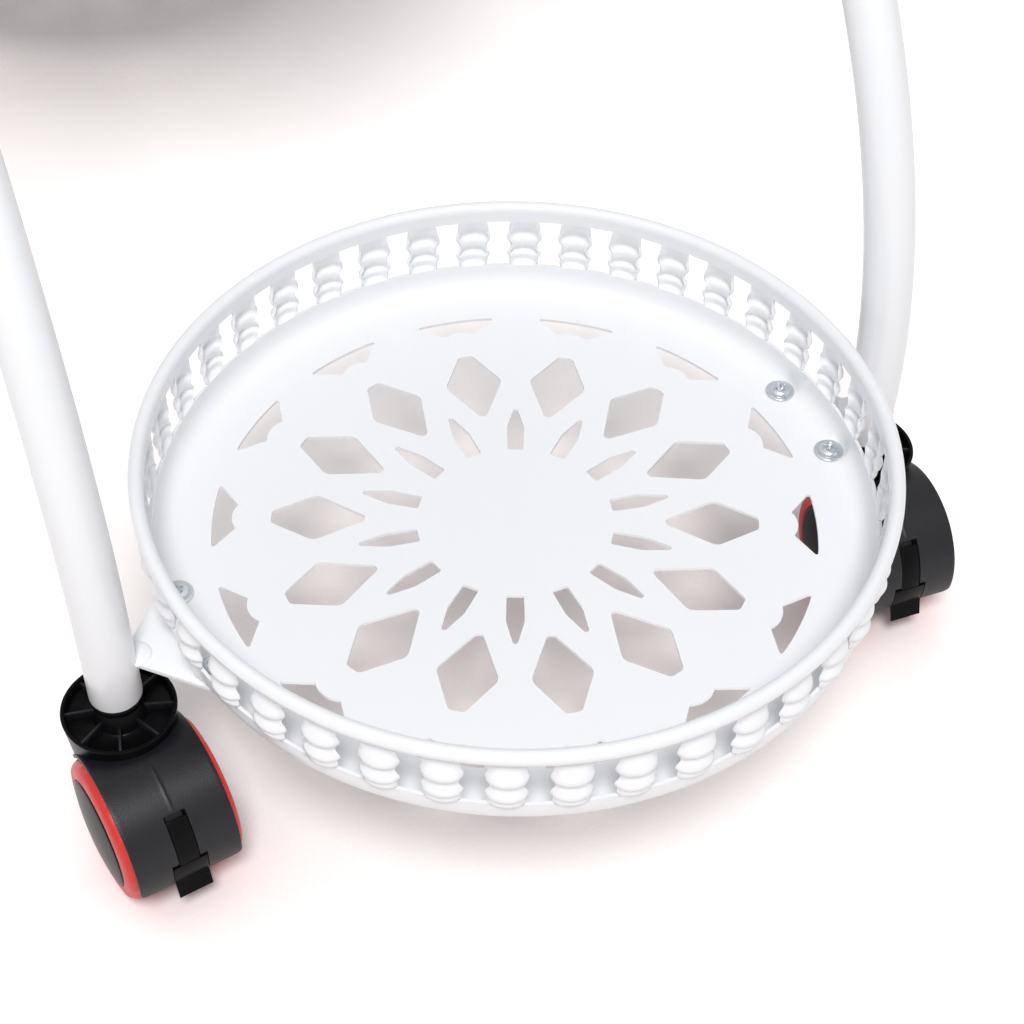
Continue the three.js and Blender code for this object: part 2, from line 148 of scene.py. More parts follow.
def new_group(name, inputs, outputs):
    """An empty node group with its named number inputs and outputs, and its two end nodes."""
    group = bpy.data.node_groups.new(name, "ShaderNodeTree")
    for label, value in inputs.items():
        socket = group.interface.new_socket(label, in_out="INPUT", socket_type="NodeSocketFloat")
        socket.default_value = value
    for label in outputs:
        group.interface.new_socket(label, in_out="OUTPUT", socket_type="NodeSocketFloat")
    ends = group.nodes.new("NodeGroupInput"), group.nodes.new("NodeGroupOutput")
    return group, *ends


def surface_ripple():
    """Noise over the surface: Height for a bump and Patches for slow changes of gloss."""
    group, given, made = new_group(
        "surface ripple", {"Fine Size": 200.0, "Patch Size": 14.0}, ("Height", "Patches")
    )
    surface = group.nodes.new("ShaderNodeTexCoord")
    for label, size, detail in (("Height", "Fine Size", 3.0), ("Patches", "Patch Size", 2.0)):
        noise = group.nodes.new("ShaderNodeTexNoise")
        noise.inputs["Detail"].default_value = detail
        link(group, surface.outputs["Object"], noise.inputs["Vector"])
        link(group, given.outputs[size], noise.inputs["Scale"])
        link(group, noise.outputs["Fac"], made.inputs[label])
    return group


RIPPLE = surface_ripple()


def new_material(name):
    """A material with its node tree and the tree's Principled shader."""
    material = bpy.data.materials.new(name)
    material.use_nodes = True
    tree = material.node_tree
    return material, tree, tree.nodes["Principled BSDF"]


def place_group(tree, group, **values):
    node = tree.nodes.new("ShaderNodeGroup")
    node.node_tree = group
    for label, value in values.items():
        node.inputs[label.replace("_", " ")].default_value = value
    return node


def spread(tree, value, low, high):
    """The middle of a noise's range, stretched to lie between low and high."""
    node = tree.nodes.new("ShaderNodeMapRange")
    node.inputs["From Min"].default_value = 0.3
    node.inputs["From Max"].default_value = 0.7
    node.inputs["To Min"].default_value = low
    node.inputs["To Max"].default_value = high
    link(tree, value, node.inputs["Value"])
    return node.outputs["Result"]


def bump(tree, shader, height, strength, distance):
    node = tree.nodes.new("ShaderNodeBump")
    node.inputs["Strength"].default_value = strength
    node.inputs["Distance"].default_value = distance
    link(tree, height, node.inputs["Height"])
    link(tree, node.outputs["Normal"], shader.inputs["Normal"])


def white_paint():
    material, tree, shader = new_material("white enamel")
    shader.inputs["Base Color"].default_value = (*PAINT_COLOUR, 1)
    shader.inputs["Roughness"].default_value = PAINT_ROUGHNESS
    shader.inputs["Coat Weight"].default_value = LACQUER
    shader.inputs["Coat Roughness"].default_value = LACQUER_ROUGHNESS
    ripple = place_group(tree, RIPPLE, Fine_Size=PEEL_SIZE)
    bump(tree, shader, ripple.outputs["Height"], PEEL_STRENGTH, PEEL_DEPTH * MM)
    return material


PAINT = white_paint()


def filleted(corners, steps=6):
    """A closed outline through (x, y, rounding) corners, each rounded by an arc."""
    outline = []
    count = len(corners)
    for i, (x, y, rounding) in enumerate(corners):
        here = Vector((x, y))
        back = (Vector(corners[i - 1][:2]) - here).normalized()
        ahead = (Vector(corners[(i + 1) % count][:2]) - here).normalized()
        half = back.angle(ahead, math.pi) / 2
        if not rounding or half > 1.5:
            outline.append((x, y))
            continue
        middle = (back + ahead).normalized()
        centre = here + middle * rounding / math.sin(half)
        first = here + back * rounding / math.tan(half) - centre
        last = here + ahead * rounding / math.tan(half) - centre
        turn = first.angle_signed(last)
        for step in range(steps + 1):
            outline.append(tuple(centre + Matrix.Rotation(-turn * step / steps, 2) @ first))
    return outline


def mirrored(half_outline):
    """Corners with y above or on the axis, closed by their mirror image below it."""
    below = [(x, -y, rounding) for x, y, rounding in reversed(half_outline) if y > 0]
    return [*half_outline, *below]


def crescent_corners():
    """The crescent's long arc, its two tips and cusps, and the scallop between the cusps."""
    tip, cusp = CRESCENT_TIP, CRESCENT_CUSP
    reach = math.asin((tip[1] - 0.6) / CRESCENT_ARC)
    outer = [
        (CRESCENT_ARC * math.cos(share * reach), CRESCENT_ARC * math.sin(share * reach), 0)
        for share in ARC_SHARES
    ]
    rise = CRESCENT_SCALLOP - cusp[0]
    radius = (cusp[1] ** 2 + rise**2) / (2 * rise)
    sweep = math.asin(cusp[1] / radius)
    scallop = [
        (CRESCENT_SCALLOP - radius * (1 - math.cos(share * sweep)), radius * math.sin(share * sweep), 0)
        for share in SCALLOP_SHARES
    ]
    return [*outer, (tip[0], -tip[1], tip[2]), (cusp[0], -cusp[1], cusp[2]), *scallop, cusp, tip]


def floor_openings():
    """The outlines of all openings in the floor, petal after petal."""
    shapes = (
        (filleted(mirrored(list(DIAMOND))), 0.0),
        (filleted(mirrored(list(SLOT))), 0.5),
        (filleted(crescent_corners()), 0.0),
    )
    for petal in range(PETALS):
        for outline, offset in shapes:
            turn = Matrix.Rotation(2 * math.pi * (petal + offset) / PETALS, 2)
            yield [turn @ Vector(point) for point in outline]


def wall_rows():
    """Rows of the tray's sheet from the floor to the roll: radius, height, width, swell, open."""
    key = np.array(BALUSTER)
    foot, head = key[0, 1], key[-1, 1]
    rows = [(radius, 0.0, foot, 0.0, False) for radius in FLOOR_MARGIN]
    for turn in np.radians(np.arange(0, 91, COVE_STEP)):
        across = COVE_START + COVE_RADIUS * math.sin(turn)
        rows.append((across, COVE_RADIUS * (1 - math.cos(turn)), foot, 0.0, False))
    rows.append((WALL, 0.5 * (COVE_RADIUS + GAP_BOTTOM), foot, 0.0, False))
    fine = np.linspace(GAP_BOTTOM, GAP_TOP, SAMPLES_PER_ROW * GAP_ROWS + 1)
    soften = np.hanning(2 * SOFTENING + 1)
    soften /= soften.sum()
    shaped = []
    for column in (1, 2):
        line = np.pad(np.interp(fine, key[:, 0], key[:, column]), SOFTENING, mode="edge")
        shaped.append(np.convolve(line, soften, mode="valid"))
    shaped[1] *= np.clip(np.minimum(fine - GAP_BOTTOM, GAP_TOP - fine) / SWELL_START, 0, 1)
    for step in range(0, len(fine), SAMPLES_PER_ROW):
        is_open = step < len(fine) - 1
        rows.append((WALL, fine[step], shaped[0][step], shaped[1][step], is_open))
    rows.append((WALL, 0.5 * (GAP_TOP + BEAD[1] - BEAD_NECK), head, 0.0, False))
    for turn in np.radians(np.arange(*BEAD_TURN)):
        across = BEAD[0] + BEAD_SIZE[0] * math.cos(turn)
        rows.append((across, BEAD[1] + BEAD_SIZE[1] * math.sin(turn), head, 0.0, False))
    return rows


def wall_sheet():
    """The tray's wall as points and faces. Its gaps are left out of the faces."""
    rows = wall_rows()
    columns = BALUSTER_COLUMNS + GAP_COLUMNS
    across = np.linspace(-1, 1, BALUSTER_COLUMNS + 1)
    gap = np.linspace(0, 1, GAP_COLUMNS + 1)[1:-1]
    pitch = 360 / BALUSTERS
    points = []
    for radius, height, width, swell, _ in rows:
        turned = np.concatenate([across * width / 2, width / 2 + gap * (pitch - width)])
        swollen = radius + swell * (1 - across**2) ** BALUSTER_ROUNDING
        out = np.concatenate([swollen, np.full(len(gap), radius)])
        angle = np.radians(pitch * np.arange(BALUSTERS)[:, None] + turned[None, :]).ravel()
        out = np.tile(out, BALUSTERS)
        points.append(np.stack([out * np.cos(angle), out * np.sin(angle), np.full(len(out), height)], 1))
    points = np.array(points)
    # flat seats for the screws, pressed into the cove
    for side in (-1, 1):
        for end in (-1, 1):
            seat = np.array([side * SCREW_PLACE[0], end * SCREW_PLACE[1]])
            away = np.linalg.norm(points[:, :, :2] - seat, axis=2)
            rise = np.clip((away - SCREW_SEAT[0]) / (SCREW_SEAT[1] - SCREW_SEAT[0]), 0, 1)
            low = points[:, :, 2] <= COVE_RADIUS + 0.01
            points[:, :, 2] = np.where(low, points[:, :, 2] * rise**2 * (3 - 2 * rise), points[:, :, 2])
    ring = columns * BALUSTERS
    faces = []
    for row in range(len(rows) - 1):
        for column in range(ring):
            if rows[row][4] and column % columns >= BALUSTER_COLUMNS:
                continue
            after = (column + 1) % ring
            a, b = row * ring, (row + 1) * ring
            faces.append((a + column, b + column, b + after, a + after))
    return points.reshape(-1, 3), faces, ring


def pierced(name, outline, openings, height=0.0):
    """A flat mesh inside the outline, without its openings, in the outline's own units."""
    loops = [[Vector(point[:2]) for point in loop] for loop in (outline, *openings)]
    corners = [corner for loop in loops for corner in loop]
    edges, start = [], 0
    for loop in loops:
        count = len(loop)
        edges += [(start + i, start + (i + 1) % count) for i in range(count)]
        start += count
    flat = delaunay_2d_cdt(corners, edges, [], 1, 1e-9)
    places = np.array([tuple(corner) for corner in flat[0]])
    triangles = np.array(flat[2])
    middles = places[triangles].mean(axis=1)
    crossings = np.zeros(len(middles), int)
    for loop in loops:
        ends = np.array([tuple(corner) for corner in loop])
        for (x0, y0), (x1, y1) in zip(ends, np.roll(ends, -1, axis=0)):
            beside = (middles[:, 1] < y0) != (middles[:, 1] < y1)
            reach = x0 + (middles[:, 1] - y0) * (x1 - x0) / (y1 - y0 or 1)
            crossings += beside & (middles[:, 0] < reach)
    kept = triangles[crossings % 2 == 1]
    mesh = bpy.data.meshes.new(name)
    mesh.from_pydata(np.insert(places, 2, height, axis=1).tolist(), [], kept.tolist())
    return mesh


def tray_mesh():
    """The pressed sheet of one tray, in metres, with its floor's top at z = 0."""
    points, faces, ring = wall_sheet()
    wall = bpy.data.meshes.new("tray wall")
    wall.from_pydata(points.tolist(), [], faces)
    mesh = joined("tray sheet", pierced("tray floor", points[:ring], floor_openings()), wall)
    mesh.transform(Matrix.Scale(MM, 4))
    return mesh


def joined(name, *meshes):
    """Several meshes as one, welded where they share corners."""
    whole = bmesh.new()
    for mesh in meshes:
        whole.from_mesh(mesh)
        bpy.data.meshes.remove(mesh)
    loose = [corner for corner in whole.verts if not corner.link_faces]
    bmesh.ops.delete(whole, geom=loose, context="VERTS")
    bmesh.ops.remove_doubles(whole, verts=whole.verts, dist=1e-7)
    mesh = bpy.data.meshes.new(name)
    whole.to_mesh(mesh)
    whole.free()
    return mesh


def settled(name, mesh, material, sharp_degrees=38, **modifiers):
    """The mesh with its modifiers applied, its soft edges smooth and its sharp edges kept."""
    draft = bpy.data.objects.new(name, mesh)
    bpy.context.scene.collection.objects.link(draft)
    for kind, settings in modifiers.items():
        modifier = draft.modifiers.new(kind, kind)
        for key, value in settings.items():
            setattr(modifier, key, value)
    bpy.context.view_layer.update()
    shaped = bpy.data.meshes.new_from_object(draft.evaluated_get(bpy.context.evaluated_depsgraph_get()))
    bpy.data.objects.remove(draft)
    bpy.data.meshes.remove(mesh)
    shaped.name = name
    shaped.polygons.foreach_set("use_smooth", [True] * len(shaped.polygons))
    shaped.set_sharp_from_angle(angle=math.radians(sharp_degrees))
    shaped.materials.clear()
    shaped.materials.append(material)
    return shaped


def place(name, mesh, at, body, nodes=()):
    """Puts a piece where its matrix says, lets it ride on its body and stand for its nodes."""
    piece = bpy.data.objects.new(name, mesh)
    bpy.context.scene.collection.objects.link(piece)
    piece.matrix_world = at
    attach(piece, body)
    if nodes:
        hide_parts(*nodes)
    return piece


TRAY = settled("pierced tray", tray_mesh(), PAINT, SOLIDIFY={"thickness": SHEET * MM, "offset": -1})
tray_places = {}
for tray in ("front", "top", "back"):
    low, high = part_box(f"tray_{tray}")
    at = Matrix.Translation(((low.x + high.x) / 2, (low.y + high.y) / 2, low.z + SHEET * MM))
    tray_places[tray] = at
    place(f"pierced_tray_{tray}", TRAY, at, "frame", [f"tray_{tray}"])

# ---- arch tubes --------------------------------------------------------------------------------
# Each arch is one length of round steel tube, bent to half a circle with a short straight leg at
# each end, cut square and sprayed like the trays.
TUBE_RADIUS = 9.5
TUBE_BORE = 8.3
TUBE_EDGE = 0.4
BORE_DEPTH = 12.0
TUBE_SIDES = 48
ARCH_STEPS = 90


def skinned(name, rings, capped=True):
    """A closed mesh over rings of points, in metres. Its ends are capped, or else they join."""
    rings = np.asarray(rings, float)
    count, sides = rings.shape[:2]
    faces = []
    for row in range(count - 1 if capped else count):
        for side in range(sides):
            after = (side + 1) % sides
            a, b = row * sides, (row + 1) % count * sides
            faces.append((a + side, a + after, b + after, b + side))
    if capped:
        faces.append(tuple(reversed(range(sides))))
        faces.append(tuple(range((count - 1) * sides, count * sides)))
    mesh = bpy.data.meshes.new(name)
    mesh.from_pydata(rings.reshape(-1, 3).tolist(), [], faces)
    mesh.update()
    return mesh


def arch_mesh(foot, leg, radius):
    """foot is the height of the tube's end, leg the straight stretch above it, in metres."""
    end = [
        (foot + BORE_DEPTH * MM, TUBE_BORE),
        (foot, TUBE_BORE),
        (foot, TUBE_RADIUS - TUBE_EDGE),
        (foot + 0.3 * TUBE_EDGE * MM, TUBE_RADIUS - 0.3 * TUBE_EDGE),
        (foot + TUBE_EDGE * MM, TUBE_RADIUS),
    ]
    stations = [(0.0, height, across) for height, across in end]
    stations += [(turn, foot + leg, TUBE_RADIUS) for turn in np.linspace(0, math.pi, ARCH_STEPS + 1)]
    stations += [(math.pi, height, across) for height, across in reversed(end)]
    around = np.linspace(0, 2 * math.pi, TUBE_SIDES, endpoint=False)
    rings = []
    for turn, height, across in stations:
        side = across * MM * np.cos(around)
        out = radius + across * MM * np.sin(around)
        up = height + out * math.sin(turn) if 0 < turn < math.pi else np.full(TUBE_SIDES, height)
        rings.append(np.stack([side, -out * math.cos(turn), up], 1))
    return skinned("arch tube", rings)


arch_low, arch_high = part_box("arch_left")
arch_radius = (arch_high.y - arch_low.y) / 2 - TUBE_RADIUS * MM
arch_leg = arch_high.z - arch_low.z - arch_radius - TUBE_RADIUS * MM
ARCH = settled("arch tube", arch_mesh(arch_low.z, arch_leg, arch_radius), PAINT)
for side in ("left", "right"):
    low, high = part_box(f"arch_{side}")
    at = Matrix.Translation(((low.x + high.x) / 2, 0, 0))
    place(f"bent_tube_{side}", ARCH, at, "frame", [f"arch_{side}"])

# ---- bracket plates ----------------------------------------------------------------------------
# A flat plate under each side of a tray, laser cut and welded to the tube. The weld is ground to a
# low round lobe beside the tube.
PLATE_THICK = 2.0
PLATE_TOP = -1.5
PLATE_EDGE = 0.35
# corners of half the plate: along it from the tray's middle, half across it, and their rounding
PLATE_CORNERS = ((116.0, 24.5, 1.5), (129.0, 24.5, 2.5), (147.2, 5.2, 3.5))
PLATE_END_HALF = 5.0
PLATE_GAP = 0.1
TUBE_PLACE = 156.0
WELD_PLACE = (146.4, 0.4)
WELD_RADIUS = 5.6
WELD_HEIGHT = 1.3
WELD_SINK = 0.4
WELD_STEP = 12


def plate_mesh(upright):
    """The plate's end is hollowed to fit an upright tube and cut square for a level one."""
    seat = TUBE_RADIUS + PLATE_GAP
    half = list(PLATE_CORNERS)
    for across in np.linspace(PLATE_END_HALF, 0, 5):
        reach = math.sqrt(seat**2 - across**2) if upright else seat
        half.append((TUBE_PLACE - reach, across, 0))
    mesh = pierced("bracket plate", filleted(mirrored(half)), [], PLATE_TOP)
    mesh.transform(Matrix.Scale(MM, 4))
    return mesh


def turned(name, profile, sides, centre=(0, 0)):
    """A closed solid turned about Z from (radius, height) points in millimetres, bottom first."""
    around = np.linspace(0, 2 * math.pi, sides, endpoint=False)
    rings = []
    for radius, height in profile:
        ring = [centre[0] + radius * np.cos(around), centre[1] + radius * np.sin(around)]
        rings.append(np.stack([*ring, np.full(sides, height)], 1) * MM)
    return skinned(name, rings)


def weld_mesh():
    lobe = [(WELD_RADIUS, PLATE_TOP - WELD_SINK)]
    for turn in np.radians(np.arange(0, 90, WELD_STEP)):
        lobe.append((WELD_RADIUS * math.cos(turn), PLATE_TOP + WELD_HEIGHT * math.sin(turn)))
    return turned("weld", lobe, 32, WELD_PLACE)


PLATES = {}
for upright in (True, False):
    plate = settled(
        "bracket plate",
        plate_mesh(upright),
        PAINT,
        SOLIDIFY={"thickness": PLATE_THICK * MM, "offset": -1},
        BEVEL={"width": PLATE_EDGE * MM, "segments": 2, "angle_limit": math.radians(50)},
    )
    PLATES[upright] = settled("bracket plate", joined("bracket plate", plate, weld_mesh()), PAINT)
for tray, at in tray_places.items():
    for side, turn in (("left", math.pi), ("right", 0)):
        name = f"bracket_{tray}_{side}"
        matrix = at @ Matrix.Rotation(turn, 4, "Z")
        place(f"welded_{name}", PLATES[tray != "top"], matrix, "frame", [name])

# ---- screws ------------------------------------------------------------------------------------
# Pan head screws with a flange and a cross recess, zinc plated with a bluish passivation.
SCREW_SIDES = 72
SHANK_AND_FLANGE = ((2.5, -7.5), (2.5, 0.0), (5.7, 0.0), (5.7, 0.5), (5.5, 0.72))
HEAD_DOME = 4.1
DOME_FOOT = 0.8
HEAD_HEIGHT = 2.6
DOME_RINGS = np.linspace(3.95, 0.08, 26)
RECESS_ARM = 2.35
RECESS_ARM_SLOPE = 0.5
RECESS_HALF = 0.62
RECESS_HALF_SLOPE = 0.25
RECESS_DEPTH = 1.5
HEAD_SEAT = 0.2
ZINC_COLOUR = (0.62, 0.65, 0.69)
ZINC_ROUGHNESS = (0.2, 0.42)


def zinc_plate():
    material, tree, shader = new_material("zinc plate")
    shader.inputs["Base Color"].default_value = (*ZINC_COLOUR, 1)
    shader.inputs["Metallic"].default_value = 1.0
    ripple = place_group(tree, RIPPLE, Fine_Size=900.0, Patch_Size=260.0)
    link(tree, spread(tree, ripple.outputs["Patches"], *ZINC_ROUGHNESS), shader.inputs["Roughness"])
    bump(tree, shader, ripple.outputs["Height"], 0.2, 0.1 * MM)
    return material


ZINC = zinc_plate()


def screw_mesh():
    """Rings up the shank and flange, then inwards over the dome, which dips into the recess."""
    around = np.linspace(0, 2 * math.pi, SCREW_SIDES, endpoint=False)
    rings = []
    for radius, height in SHANK_AND_FLANGE:
        flat = np.full(SCREW_SIDES, height)
        rings.append(np.stack([radius * np.cos(around), radius * np.sin(around), flat], 1))
    for radius in (HEAD_DOME + 0.5, HEAD_DOME, *DOME_RINGS):
        share = min(radius / HEAD_DOME, 1)
        dome = DOME_FOOT + (HEAD_HEIGHT - DOME_FOOT) * math.sqrt(1 - share**3)
        x, y = radius * np.cos(around), radius * np.sin(around)
        narrow = np.minimum(np.abs(x), np.abs(y))
        long = np.maximum(np.abs(x), np.abs(y))
        inside = np.clip((RECESS_HALF - narrow) / RECESS_HALF_SLOPE, 0, 1)
        inside *= np.clip((RECESS_ARM - long) / RECESS_ARM_SLOPE, 0, 1)
        rings.append(np.stack([x, y, dome - RECESS_DEPTH * inside * (1.15 - 0.3 * long)], 1))
    return skinned("screw", np.array(rings) * MM)


SCREW = settled("pan head screw", screw_mesh(), ZINC, sharp_degrees=45)
# how far each screw was turned home, in degrees
SCREW_TURNS = iter((20, 75, 48, 5, 62, 33, 12, 80, 27, 55, 40, 68))
for tray, at in tray_places.items():
    for side in ("left", "right"):
        for number in (1, 2):
            name = f"screw_{tray}_{side}_{number}"
            low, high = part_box(name)
            height = at.translation.z + HEAD_SEAT * MM
            middle = Matrix.Translation(((low.x + high.x) / 2, (low.y + high.y) / 2, height))
            matrix = middle @ Matrix.Rotation(math.radians(next(SCREW_TURNS)), 4, "Z")
            place(f"pan_head_{name}", SCREW, matrix, "frame", [name])

# ---- castors -----------------------------------------------------------------------------------
# Black nylon twin-wheel castors. The housing is one moulding: a ribbed cup round the stem and a
# grained hood over the wheels, on a web that carries the axle between them. In each castor the
# swivel axis is Z, the wheels roll about X, and the hood faces -Y.
AXLE = (-22.5, 27.5)
HOOD_RADIUS = 29.6
HOOD_WALL = 1.4
HOOD_HALF = 19.6
HOOD_ENDS = (-14.0, 150.0)
HOOD_CORNER = 2.6
HOOD_STEP = 2
HOOD_COLUMNS = 29
HOOD_PLAIN = 12.0
CORNER_TURNS = (0.15, 0.5, 1.0, 1.8, 2.8, 4.0)
HOOD_EDGE = 0.22
TONGUE = (3.8, 42.0)
TONGUE_SLOT = (4.1, 46.5)
PLATE_TREAD = (6.5, 4.5)
PLATE_SLOT = (6.8, 7.6)
PARTING_LINE = (49.0, 82.0)
PARTING_HEIGHT = 0.13
PARTING_HALF = 0.22
WEB_HALF = 3.2
WEB_INNER = 6.0
WEB_FRONT = 26.4
WEB_BOSS = 7.0
CUP_PROFILE = (
    (18.6, 44.5),
    (19.0, 44.7),
    (20.6, 60.6),
    (20.75, 61.2),
    (20.55, 61.5),
    (19.5, 61.5),
    (19.3, 61.25),
    (18.9, 58.1),
    (18.2, 57.4),
    (10.2, 57.2),
    (9.4, 57.8),
    (8.3, 65.6),
    (8.0, 66.0),
    (4.4, 66.0),
)
CUP_SIDES = 96
RIBS = 8
RIB_HALF = 0.45
RIB_EDGE = 0.15
RIB_OUTLINE = ((8.0, 57.0), (19.4, 57.0), (19.4, 60.6), (8.0, 61.6))
GRAIN_SIZE = 2300.0
NYLON_COLOUR = (0.0075, 0.0079, 0.0105)
CUP_COLOUR = (0.003, 0.003, 0.0035)


def nylon(name, colour, roughness, gloss, grain, depth):
    material, tree, shader = new_material(name)
    shader.inputs["Base Color"].default_value = (*colour, 1)
    shader.inputs["Roughness"].default_value = roughness
    shader.inputs["Specular IOR Level"].default_value = gloss
    ripple = place_group(tree, RIPPLE, Fine_Size=GRAIN_SIZE)
    bump(tree, shader, ripple.outputs["Height"], grain, depth * MM)
    return material


GRAINED = nylon("grained nylon", NYLON_COLOUR, roughness=0.39, gloss=0.29, grain=0.8, depth=0.12)
SMOOTH = nylon("smooth nylon", CUP_COLOUR, roughness=0.3, gloss=0.07, grain=0.08, depth=0.02)


def around_axle(radius, degrees):
    """Y and Z of a point round the axle, turned up from the castor's front."""
    turn = np.radians(degrees)
    return AXLE[0] - radius * np.cos(turn), AXLE[1] + radius * np.sin(turn)


def hood_mesh():
    """The hood's outer skin, with rounded corners, its parting line and the pedal's slot."""
    start, end = HOOD_ENDS
    slots = (TONGUE_SLOT, PLATE_SLOT)
    even = np.arange(start, end + 0.1, HOOD_STEP)
    turns = np.concatenate([even, start + np.array(CORNER_TURNS), [top for _, top in slots]])
    turns = np.unique(np.round(turns, 3))
    across = np.linspace(-HOOD_HALF, HOOD_HALF, HOOD_COLUMNS)
    breaks = [sign * half for sign in (-1, 1) for half in (TONGUE_SLOT[0], PLATE_SLOT[0], PARTING_HALF)]
    across = np.unique(np.round(np.concatenate([across, breaks]), 3))
    reach = np.radians(np.minimum(turns - start, end - turns)) * HOOD_RADIUS
    short = np.clip(HOOD_CORNER - reach, 0, None)
    half = HOOD_HALF - HOOD_CORNER + np.sqrt(HOOD_CORNER**2 - short**2)
    aside = np.abs(across)
    out = np.clip(aside - HOOD_PLAIN, 0, None)[None, :] * (half[:, None] - HOOD_PLAIN)
    out /= HOOD_HALF - HOOD_PLAIN
    x = np.sign(across)[None, :] * (np.minimum(aside, HOOD_PLAIN)[None, :] + out)
    on_line = (turns > PARTING_LINE[0]) & (turns < PARTING_LINE[1])
    radius = HOOD_RADIUS - PARTING_HEIGHT + PARTING_HEIGHT * on_line[:, None] * (across == 0)[None, :]
    y, z = around_axle(radius, turns[:, None])
    points = np.stack([x, y, z], 2) * MM
    faces = []
    for row, (low, high) in enumerate(zip(turns, turns[1:])):
        for column, (left, right) in enumerate(zip(across, across[1:])):
            middle, rise = abs(left + right) / 2, (low + high) / 2
            if any(middle < half_slot and rise < top for half_slot, top in slots):
                continue
            a = row * len(across) + column
            b = a + len(across)
            faces.append((a, a + 1, b + 1, b))
    mesh = bpy.data.meshes.new("hood")
    mesh.from_pydata(points.reshape(-1, 3).tolist(), [], faces)
    return mesh


def plank(name, outline, low, high):
    """An outline in Y and Z, in millimetres, that runs across the castor from x = low to x = high."""
    sheet = pierced(name, outline, [])
    solid = bmesh.new()
    solid.from_mesh(sheet)
    bpy.data.meshes.remove(sheet)
    raised = bmesh.ops.extrude_face_region(solid, geom=solid.faces[:])["geom"]
    lifted = [part for part in raised if isinstance(part, bmesh.types.BMVert)]
    bmesh.ops.translate(solid, verts=lifted, vec=(0, 0, high - low))
    bmesh.ops.recalc_face_normals(solid, faces=solid.faces)
    across = Matrix(((0, 0, 1, low), (1, 0, 0, 0), (0, 1, 0, 0), (0, 0, 0, 1)))
    bmesh.ops.transform(solid, matrix=Matrix.Scale(MM, 4) @ across, verts=solid.verts)
    mesh = bpy.data.meshes.new(name)
    solid.to_mesh(mesh)
    solid.free()
    return mesh


def ring_sector(inner, outer, start, end, steps=24):
    """The outline of a piece of a ring round the axle."""
    turns = np.linspace(start, end, steps + 1)
    outside = list(zip(*around_axle(outer, turns)))
    inside = list(zip(*around_axle(inner, turns[::-1])))
    return [(float(y), float(z)) for y, z in outside + inside]


def rib_mesh():
    rib = plank("rib", RIB_OUTLINE, -RIB_HALF, RIB_HALF)
    ribs = []
    for number in range(RIBS):
        turned_rib = rib.copy()
        turned_rib.transform(Matrix.Rotation(2 * math.pi * (number + 0.5) / RIBS - math.pi / 2, 4, "Z"))
        ribs.append(turned_rib)
    bpy.data.meshes.remove(rib)
    return joined("ribs", *ribs)


def web_mesh():
    """The web under the hood, which is cut back in front for the pedal, and its axle boss."""
    boss = [(float(y), float(z)) for y, z in zip(*around_axle(WEB_BOSS, np.linspace(-60, 240, 40)))]
    edge = ring_sector(WEB_INNER, HOOD_RADIUS - 0.5, TONGUE_SLOT[1] + 0.5, HOOD_ENDS[1])
    front = ring_sector(WEB_INNER, WEB_FRONT, HOOD_ENDS[0], TONGUE_SLOT[1] + 0.6)
    pieces = [plank("web", outline, -WEB_HALF, WEB_HALF) for outline in (boss, edge, front)]
    return joined("web", *pieces)


EDGE = {"width": HOOD_EDGE * MM, "segments": 2, "angle_limit": math.radians(40)}
THICK = {"thickness": HOOD_WALL * MM, "offset": -1}
HOUSING = {
    "hood": settled("hood", hood_mesh(), GRAINED, SOLIDIFY=THICK, BEVEL=EDGE),
    "web": settled("web", web_mesh(), GRAINED),
    "cup": settled("cup", turned("cup", CUP_PROFILE, CUP_SIDES), SMOOTH, sharp_degrees=50),
    "ribs": settled("ribs", rib_mesh(), GRAINED, BEVEL={**EDGE, "width": RIB_EDGE * MM}),
}
joints = {joint["name"]: joint for joint in frame["joints"]}
castor_places, axle_places = {}, {}
for corner in ("front_left", "front_right", "back_right", "back_left"):
    pivot = joints[f"{corner}_swivel"]["pos_m"]
    rolls = joints[f"{corner}_roll_left"]["axis"]
    turn = Matrix.Rotation(math.atan2(rolls[1], rolls[0]), 4, "Z")
    at = Matrix.Translation((pivot[0], pivot[1], 0)) @ turn
    castor_places[corner] = at
    axle_places[corner] = at @ Matrix.Translation((0, AXLE[0] * MM, AXLE[1] * MM))
    node = f"castor_{corner}_housing"
    for part, mesh in HOUSING.items():
        place(f"castor_{corner}_{part}", mesh, at, f"{corner}_castor", [node])

# ---- brake pedals ------------------------------------------------------------------------------
# A smooth black nylon pedal, whose tongue fills the slot in the hood. Its foot tab leans out below
# the hood and has grip ridges across it. A fin between the wheels carries it on its pivot.
TAB_DROP = 7.4
TAB_FLARE = 2.2
TAB_RIDGES = 7
RIDGE_HEIGHT = 0.2
# one ridge: share of its pitch, and share of its height
RIDGE_SHAPE = ((0.15, 0), (0.35, 1), (0.8, 1))
PEDAL_INNER = 28.35
PEDAL_EDGE = 0.12
# how far each part of the pedal lies under the hood's outer face
TONGUE_SUNK = 0.35
TREAD_SUNK = 0.2
TAB_SUNK = 0.25
FIN_SUNK = 0.6
PIVOT = (20.0, -5.0)
PIN_RADIUS = 1.3
PIN_HALF = 3.0
FIN_HALF = 1.6
FIN_INNER = 17.8


